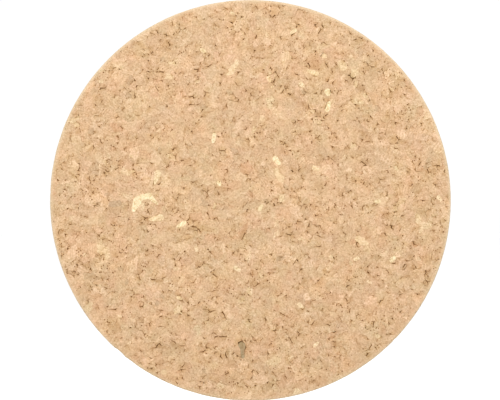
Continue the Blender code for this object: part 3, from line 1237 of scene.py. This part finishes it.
# ------------------------------------------------------------------ the scene
# Granules and cracks on the pinning face, in millimetres from its centre. Each stroke is
# (x0, z0, x1, z1, r0, r1): a capsule from one point to the other, with a radius at each end.
CHIPS = [
    ([(-56.3, -0.1, -58.3, -5.0, 2.3, 1.0), (-55.6, 1.2, -50.4, 2.3, 1.5, 1.5), (-50.4, 2.3, -46.4, -1.9, 1.4, 0.6)], CHIP_BRIGHT),
    ([(-50.2, -9.6, -45.0, -8.6, 0.7, 1.9)], CHIP_PALE),
    ([(-36.0, -13.1, -33.0, -11.2, 1.0, 1.2)], CHIP_BRIGHT),
    ([(-46.3, 13.4, -47.8, 8.2, 1.8, 0.6)], CHIP_PALE),
    ([(-15.8, 8.9, -15.2, 7.8, 1.1, 0.9)], CHIP_BRIGHT),
    ([(39.3, 48.4, 38.3, 45.2, 1.1, 1.2)], CHIP_BRIGHT),
    ([(38.4, 54.4, 38.8, 53.4, 1.6, 1.4)], CHIP_BRIGHT),
    ([(29.0, 64.6, 32.8, 63.3, 0.9, 1.4)], CHIP_PALE),
    ([(20.5, 83.4, 22.3, 84.8, 0.9, 1.0)], CHIP_PALE),
    ([(36.2, 72.4, 37.2, 71.9, 1.2, 1.1)], CHIP_PALE),
    ([(25.2, 58.1, 26.2, 57.2, 1.2, 1.1)], CHIP_PALE),
    ([(52.8, 58.8, 52.4, 57.0, 1.1, 1.0)], CHIP_MILD),
    ([(45.4, 68.4, 46.4, 66.4, 1.9, 2.1)], CHIP_MILD),
    ([(9.0, 61.2, 9.8, 59.6, 1.1, 0.9)], CHIP_PALE),
    ([(-18.0, 33.0, -18.6, 29.4, 1.0, 1.0)], CHIP_BRIGHT),
    ([(12.4, 20.8, 14.4, 18.4, 1.5, 1.0)], CHIP_BRIGHT),
    ([(31.6, 16.4, 33.8, 15.4, 1.2, 0.9)], CHIP_PALE),
    ([(4.6, -4.4, 5.8, -2.8, 1.0, 0.9)], CHIP_PALE),
    ([(70.4, -29.8, 71.8, -28.4, 1.2, 1.0)], CHIP_BRIGHT),
    ([(52.2, -29.4, 53.8, -28.8, 1.0, 0.9)], CHIP_PALE),
    ([(-7.4, -33.6, -5.6, -34.8, 1.1, 1.0)], CHIP_PALE),
    ([(93.8, 1.6, 94.6, 0.2, 1.1, 0.9)], CHIP_PALE),
    ([(-24.4, 75.2, -22.8, 74.2, 1.0, 0.9)], CHIP_PALE),
    ([(62.6, -0.8, 64.4, -0.2, 1.0, 0.9)], CHIP_PALE),
    ([(24.4, -52.0, 26.0, -53.6, 1.2, 0.9)], CHIP_PALE),
    ([(58.8, -40.4, 60.2, -41.2, 1.0, 0.9)], CHIP_MILD),
    ([(32.0, -72.6, 33.4, -71.2, 1.0, 0.9)], CHIP_PALE),
    ([(-36.0, -48.4, -34.6, -49.2, 1.1, 0.9)], CHIP_PALE),
    ([(63.0, -67.4, 64.4, -68.2, 1.0, 0.9)], CHIP_MILD),
    ([(-69.4, -2.0, -65.6, -1.4, 1.4, 1.5)], CHIP_GREY),
    ([(-4.4, -71.9, -3.8, -73.6, 1.7, 1.5), (-3.8, -73.6, -3.8, -78.0, 1.2, 0.9)], CHIP_DARK),
]
# Cracks: (x0, z0, x1, z1, size).
CRACKS = [
    (38.8, 59.2, 41.0, 58.6, 1.0),
    (17.8, 55.8, 19.0, 53.2, 1.0),
    (17.4, 73.8, 17.8, 72.4, 0.9),
    (27.8, 67.2, 30.2, 66.4, 0.9),
    (33.4, 68.2, 33.7, 65.8, 0.8),
    (34.8, 77.4, 36.6, 78.6, 0.8),
    (31.6, 86.4, 32.8, 87.8, 0.9),
    (31.8, 53.6, 33.0, 52.8, 0.8),
    (11.0, 58.6, 12.4, 57.0, 0.9),
    (-60.8, 17.4, -58.4, 15.4, 1.0),
    (-57.6, 13.8, -56.9, 11.8, 0.9),
    (-72.2, 15.4, -70.8, 14.2, 0.8),
    (-55.6, -10.4, -52.8, -11.6, 0.9),
    (-38.8, -5.2, -36.4, -6.2, 0.8),
    (-42.0, 19.0, -40.2, 18.8, 0.8),
    (-10.2, 89.8, -8.8, 88.6, 1.0),
    (-41.2, 78.6, -39.8, 77.4, 0.9),
    (-69.0, -16.6, -68.4, -17.0, 0.9),
    (-2.4, 13.2, -1.6, 12.8, 0.8),
    (7.6, -0.8, 8.4, -1.6, 1.0),
    (71.4, -68.8, 72.4, -70.2, 0.9),
    (-6.3, -71.4, -6.0, -71.0, 1.0),
    (-4.9, -70.5, -4.3, -70.3, 1.0),
    (-2.9, -70.2, -2.7, -69.6, 0.8),
    (-2.1, -72.6, -2.2, -73.0, 0.8),
    (-4.0, -74.9, -3.6, -75.4, 0.6),
]
# Crumbs lost from the edge: angle in degrees from +X, half width and depth in millimetres.
NICKS = [(229.2, 2.6, 0.42), (233.3, 2.0, 0.20), (316.0, 0.6, 0.20), (97.0, 0.6, 0.15), (14.0, 0.7, 0.18), (178.0, 0.6, 0.16)]

board = cork_disc()
board.data.materials.append(cork_material())
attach(board, "board")
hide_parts("cork_disc")

foam = foam_material()
liner = liner_material()
TURNS = {"center": -90, "top": 90, "bottom": -90, "left": 180, "right": 0}
for number, (where, turn) in enumerate(TURNS.items()):
    rng = np.random.default_rng(SEED + 10 + number)
    pad = foam_piece("foam_square_" + where, "foam_pad_" + where, rng)
    pad.data.materials.append(foam)
    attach(pad, "board")
    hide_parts("foam_pad_" + where)
    sheet = liner_piece("liner_paper_" + where, "release_liner_" + where, math.radians(turn), rng)
    sheet.data.materials.append(liner)
    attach(sheet, "liner_" + where)
    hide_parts("release_liner_" + where)

# ------------------------------------------------------------------ stage
floor_mesh = bpy.data.meshes.new("floor")
FLOOR_Z = -0.170
floor_mesh.from_pydata(
    [(-6, -6, FLOOR_Z), (6, -6, FLOOR_Z), (6, 12, FLOOR_Z), (-6, 12, FLOOR_Z)], [], [(0, 1, 2, 3)]
)
floor = bpy.data.objects.new("floor", floor_mesh)
bpy.context.scene.collection.objects.link(floor)
paper = Nodes("pale_floor")
spot = paper.object_mm()
reach = paper.add("ShaderNodeVectorMath", operation="LENGTH")
paper.put(reach.inputs[0], spot)
tone = paper.mix(paper.noise(spot, 0.004, 2.0), (0.69, 0.69, 0.68), (0.71, 0.71, 0.705))
fade = paper.remap(reach.outputs["Value"], 260.0, 900.0, smooth=True)
floor_mesh.materials.append(paper.finish(paper.mix(fade, tone, (1.0, 1.0, 1.0)), 0.9, specular=0.1))

world = bpy.data.worlds.new("studio")
world.use_nodes = True
world.node_tree.nodes["Background"].inputs["Color"].default_value = (1.0, 1.0, 1.0, 1.0)
world.node_tree.nodes["Background"].inputs["Strength"].default_value = 1.02
bpy.context.scene.world = world


def area_light(name, position, target, size, watts, color=(1, 1, 1)):
    data = bpy.data.lights.new(name, "AREA")
    data.shape = "DISK"
    data.size = size
    data.energy = watts
    data.color = color
    light = bpy.data.objects.new(name, data)
    light.location = position
    light.rotation_euler = (Vector(target) - Vector(position)).to_track_quat("-Z", "Y").to_euler()
    bpy.context.scene.collection.objects.link(light)
    return light


area_light("key", (0.40, -1.10, 1.30), (0, 0, 0), 0.55, 18.0)
area_light("fill", (-1.3, -1.2, 0.5), (0, 0, 0), 1.2, 6.0)
area_light("rear", (-0.9, 1.3, 1.2), (0, 0, 0), 1.0, 9.0)

camera_data = bpy.data.cameras.new("camera")
camera_data.lens = 200.0
camera_data.sensor_width = 36.0
camera_data.clip_start = 0.05
camera_data.clip_end = 40.0
camera = bpy.data.objects.new("camera", camera_data)
DISTANCE = 1.3856
camera.location = (-0.0002, FRONT_Y * MM - DISTANCE, 0.000175)
camera.rotation_euler = (math.pi / 2, 0, 0)
bpy.context.scene.collection.objects.link(camera)
bpy.context.scene.camera = camera
bpy.context.scene.view_settings.view_transform = "Standard"
bpy.context.scene.view_settings.look = "None"
bpy.context.scene.view_settings.exposure = 0.0
bpy.context.scene.view_settings.gamma = 1.0
